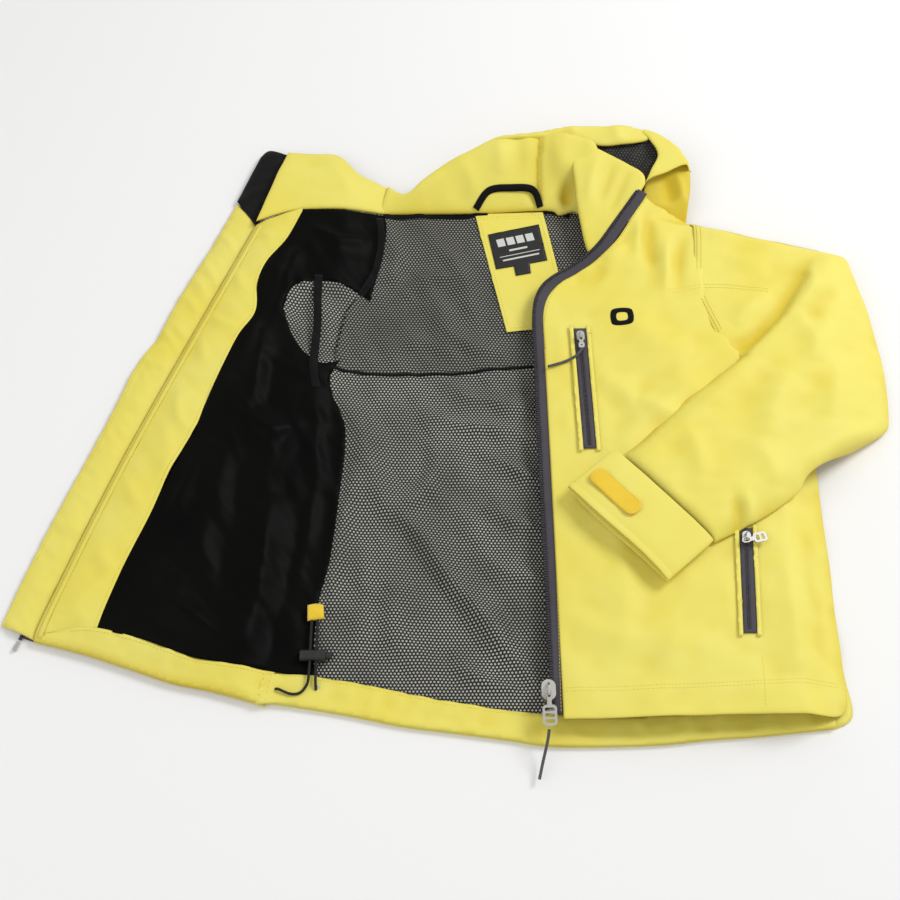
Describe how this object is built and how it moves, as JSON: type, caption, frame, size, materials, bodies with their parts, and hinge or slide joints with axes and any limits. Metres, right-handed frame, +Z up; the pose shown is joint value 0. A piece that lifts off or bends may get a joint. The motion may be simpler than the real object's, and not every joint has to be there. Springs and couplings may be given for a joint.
{
  "type": "hardshell jacket",
  "caption": "Hooded waterproof shell jacket laid on its back, one front folded open to show mesh and woven lining, with zips, sliding pulls, a hem cord with cordlock and a hanging loop.",
  "frame": {"origin": "on the ground under the middle of the jacket as it lies on its back", "axes": "+X towards the wearer's left, +Y from the hem towards the hood, +Z up out of the open front"},
  "size_m": [0.8663, 0.7441, 0.0451],
  "materials": {
    "shell_cloth": "smooth coated hardshell cloth, lemon yellow",
    "loop_patch": "soft loop strip, orange-yellow",
    "black_lining": "woven lining, black with a slight sheen",
    "mesh_lining": "open knitted mesh, black",
    "zip_tape": "woven tape, dark grey",
    "zip_coil": "matt nylon coil, dark grey",
    "grey_metal": "satin grey enamel",
    "spring_steel": "plain steel wire",
    "black_plastic": "matt moulded plastic",
    "black_cord": "braided elastic cord",
    "grey_cord": "braided cord, grey and black",
    "label_cloth": "woven satin label"
  },
  "bodies": {
    "jacket": {"back_shell": "shell_cloth", "back_hem_facing": "shell_cloth", "back_mesh_lower": "mesh_lining", "back_mesh_upper": "mesh_lining", "side_lining": "black_lining", "neck_facing": "shell_cloth", "woven_label": "label_cloth", "hem_eyelets": "grey_metal", "hem_drawcord": "black_cord", "drawcord_tab": "shell_cloth", "left_front_shell": "shell_cloth", "left_front_facing": "black_lining", "left_front_lining": "mesh_lining", "left_zip_tape": "zip_tape", "left_zip_chain": "zip_coil", "zip_retaining_box": "zip_coil", "chest_zip_tape": "zip_tape", "left_hand_zip_tape": "zip_tape", "left_sleeve_top": "shell_cloth", "left_sleeve_under": "shell_cloth", "left_cuff": "shell_cloth", "cuff_loop_patch": "loop_patch", "back_collar": "shell_cloth", "left_collar": "shell_cloth", "chest_pocket_bag": "mesh_lining", "left_hand_pocket_bag": "mesh_lining"},
    "right_front": {"right_front_shell": "shell_cloth", "right_front_facing": "shell_cloth", "right_front_lining": "black_lining", "right_hem_facing": "shell_cloth", "right_wind_flap": "shell_cloth", "chin_guard": "black_lining", "right_collar": "shell_cloth", "right_zip_tape": "zip_tape", "right_zip_chain": "zip_coil", "right_zip_pin": "zip_coil", "right_sleeve_upper": "shell_cloth", "right_sleeve_lower": "shell_cloth", "right_sleeve_lining": "mesh_lining", "right_cuff": "shell_cloth", "right_hand_zip_tape": "zip_tape", "right_hand_pocket_bag": "mesh_lining"},
    "hood": {"hood_crown": "shell_cloth", "hood_lining": "mesh_lining", "hood_brim": "shell_cloth"},
    "main_slider": {"main_slider": "grey_metal"},
    "main_pull": {"main_pull": "grey_metal", "main_pull_cord": "grey_cord"},
    "chest_slider": {"chest_slider": "grey_metal"},
    "chest_pull": {"chest_pull": "grey_metal", "chest_pull_cord": "grey_cord"},
    "left_hand_slider": {"left_hand_slider": "grey_metal"},
    "left_hand_pull": {"left_hand_pull": "grey_metal"},
    "right_hand_slider": {"right_hand_slider": "grey_metal"},
    "right_hand_pull": {"right_hand_pull": "grey_metal"},
    "cordlock": {"cordlock_barrel": "black_plastic", "cordlock_spring": "spring_steel"},
    "cordlock_plunger": {"cordlock_plunger": "black_plastic"},
    "hanger_loop": {"hanger_loop": "black_lining"}
  },
  "joints": [
    {"name": "right_front_close", "type": "hinge", "parent": "jacket", "child": "right_front", "pos_m": [-0.138, -0.04, 0.012], "axis": [0.1765, 0.9843, 0], "range_deg": [0, 150]},
    {"name": "hood_lift", "type": "hinge", "parent": "jacket", "child": "hood", "pos_m": [0.086, 0.327, 0.0475], "axis": [0.8897, -0.4566, 0], "range_deg": [0, 85]},
    {"name": "main_zip_slide", "type": "slide", "parent": "jacket", "child": "main_slider", "axis": [-0.0153, 0.9999, 0], "range_m": [0, 0.3]},
    {"name": "main_pull_flip", "type": "hinge", "parent": "main_slider", "child": "main_pull", "pos_m": [0.07732, -0.31244, 0.0272], "axis": [-0.9999, -0.0153, 0], "range_deg": [0, 100]},
    {"name": "chest_zip_slide", "type": "slide", "parent": "jacket", "child": "chest_slider", "axis": [0.0317, -0.9995, 0], "range_m": [0, 0.11]},
    {"name": "chest_pull_flip", "type": "hinge", "parent": "chest_slider", "child": "chest_pull", "pos_m": [0.1214, 0.07151, 0.03207], "axis": [-0.9995, -0.0317, 0], "range_deg": [0, 100]},
    {"name": "left_hand_zip_slide", "type": "slide", "parent": "jacket", "child": "left_hand_slider", "axis": [-0.0555, -0.9985, 0], "range_m": [0, 0.08]},
    {"name": "left_hand_pull_swing", "type": "hinge", "parent": "left_hand_slider", "child": "left_hand_pull", "pos_m": [0.26865, -0.16338, 0.0357], "axis": [0, 0, 1], "range_deg": [-95, 0]},
    {"name": "right_hand_zip_slide", "type": "slide", "parent": "right_front", "child": "right_hand_slider", "axis": [-0.3162, -0.9487, 0], "range_m": [0, 0.085]},
    {"name": "right_hand_pull_swing", "type": "hinge", "parent": "right_hand_slider", "child": "right_hand_pull", "pos_m": [-0.19687, -0.13661, 0.007], "axis": [0, 0, 1], "range_deg": [0, 35]},
    {"name": "cordlock_slide", "type": "slide", "parent": "jacket", "child": "cordlock", "axis": [0, 1, 0], "range_m": [-0.008, 0.02]},
    {"name": "cordlock_press", "type": "slide", "parent": "cordlock", "child": "cordlock_plunger", "axis": [-1, 0, 0], "range_m": [0, 0.004], "stiffness_N_per_m": 400, "springref_m": -0.003, "deforming": ["cordlock_spring"]},
    {"name": "hanger_loop_lift", "type": "hinge", "parent": "jacket", "child": "hanger_loop", "pos_m": [0.051, 0.2485, 0.01], "axis": [1, 0, 0], "range_deg": [0, 100]}
  ]
}
